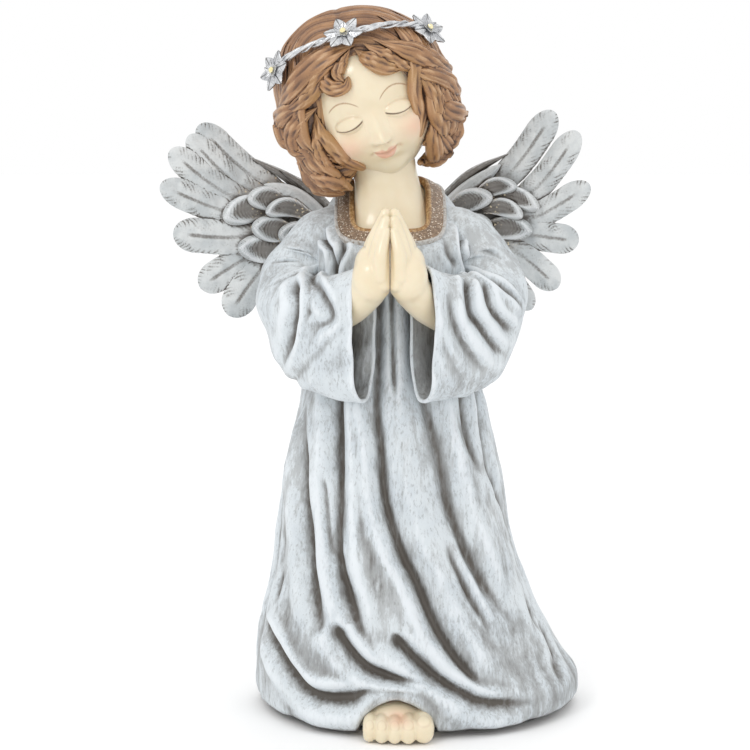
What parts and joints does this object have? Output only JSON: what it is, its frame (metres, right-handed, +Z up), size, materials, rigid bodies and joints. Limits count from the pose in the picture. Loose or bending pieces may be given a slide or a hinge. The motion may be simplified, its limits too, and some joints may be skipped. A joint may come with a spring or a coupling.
{
  "type": "angel figurine",
  "caption": "Free-standing praying angel figurine of painted cast resin, in a long robe with bell sleeves, spread feathered wings and a flower circlet.",
  "frame": {"origin": "on the flat underside of the felt pad, under the figure; x = 0 lies between the middle of the torso and the middle of the hem", "axes": "+Z up, -Y the way the figure faces, +X towards the figure's own left"},
  "size_m": [0.2178, 0.1388, 0.3487],
  "materials": {
    "robe_paint": "pale blue-grey paint, dry-brushed white over a grey-brown wash",
    "wing_paint": "white dry-brush over grey, with glittery brown-gold roots",
    "skin_glaze": "glossy cream paint",
    "hair_paint": "satin brown paint with a darker wash in the grooves",
    "bronze_glitter": "brown-gold paint with fine glitter",
    "silver_paint": "silver paint with glitter",
    "stone_crystal": "clear faceted stone on a pale yellow foil",
    "bare_resin": "unpainted cast resin",
    "pin_steel": "plain drawn steel rod",
    "felt_grey": "dark grey felt"
  },
  "bodies": {
    "root": {"robe_shell": "robe_paint", "base_plate": "bare_resin", "felt_pad": "felt_grey", "collar_trim": "bronze_glitter", "right_sleeve": "robe_paint", "left_sleeve": "robe_paint", "right_hand": "skin_glaze", "left_hand": "skin_glaze", "head": "skin_glaze", "hair": "hair_paint", "circlet": "silver_paint", "star_flower_front": "silver_paint", "star_flower_left": "silver_paint", "star_flower_back_left": "silver_paint", "star_flower_back_right": "silver_paint", "star_flower_right": "silver_paint", "flower_stone_front": "stone_crystal", "flower_stone_left": "stone_crystal", "flower_stone_back_left": "stone_crystal", "flower_stone_back_right": "stone_crystal", "flower_stone_right": "stone_crystal", "right_wing": "wing_paint", "left_wing": "wing_paint", "right_wing_pin_upper": "pin_steel", "right_wing_pin_lower": "pin_steel", "left_wing_pin_upper": "pin_steel", "left_wing_pin_lower": "pin_steel", "foot": "skin_glaze"}
  },
  "joints": []
}
